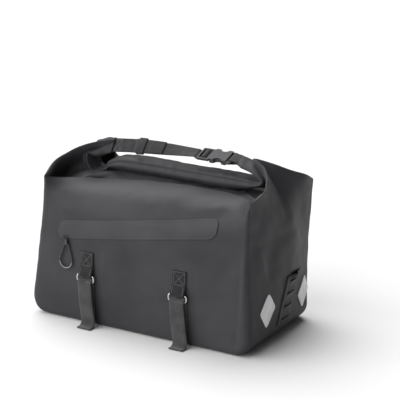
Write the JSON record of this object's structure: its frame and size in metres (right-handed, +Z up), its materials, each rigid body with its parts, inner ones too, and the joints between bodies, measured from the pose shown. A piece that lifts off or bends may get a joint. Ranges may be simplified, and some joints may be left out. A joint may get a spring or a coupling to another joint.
{
  "type": "roll-top bicycle rear rack pannier bag",
  "caption": "Boxy waterproof roll-top rack bag with buckled carry handle, slanted zip flap, strap-and-ring rack fixings and reflective diamonds.",
  "frame": {"origin": "centre of the flat base, at the bottom of the bag", "axes": "+X along the bag's length, +Y from the front panel to the back, +Z up"},
  "size_m": [0.41, 0.3022, 0.2926],
  "materials": {
    "coated_fabric": "matt, fine woven base under a smooth coating",
    "webbing": "ribbed flat webbing",
    "hook_loop": "hook-and-loop tape",
    "buckle_plastic": "satin moulded",
    "ring_metal": "dark plated",
    "reflective_film": "retroreflective grey film",
    "pull_cord": "coated cord loop"
  },
  "bodies": {
    "root": {"anchor_back_left": "webbing", "anchor_back_right": "webbing", "anchor_front_left": "webbing", "anchor_front_right": "webbing", "buckle_female": "buckle_plastic", "buckle_male": "buckle_plastic", "handle_strap_long": "webbing", "handle_strap_short": "webbing", "handle_strap_tail": "webbing", "light_loop_left": "coated_fabric", "light_loop_right": "coated_fabric", "rail_strap_back_left": "hook_loop", "rail_strap_back_right": "hook_loop", "rail_strap_front_left": "hook_loop", "rail_strap_front_right": "hook_loop", "reflector_left_back": "reflective_film", "reflector_left_front": "reflective_film", "reflector_right_back": "reflective_film", "reflector_right_front": "reflective_film", "ring_back_left": "ring_metal", "ring_back_right": "ring_metal", "ring_front_left": "ring_metal", "ring_front_right": "ring_metal", "roll": "coated_fabric", "shell": "coated_fabric", "strap_keeper": "webbing", "zip_flap": "coated_fabric", "zip_pull": "pull_cord", "zip_slider": "buckle_plastic"}
  },
  "joints": []
}
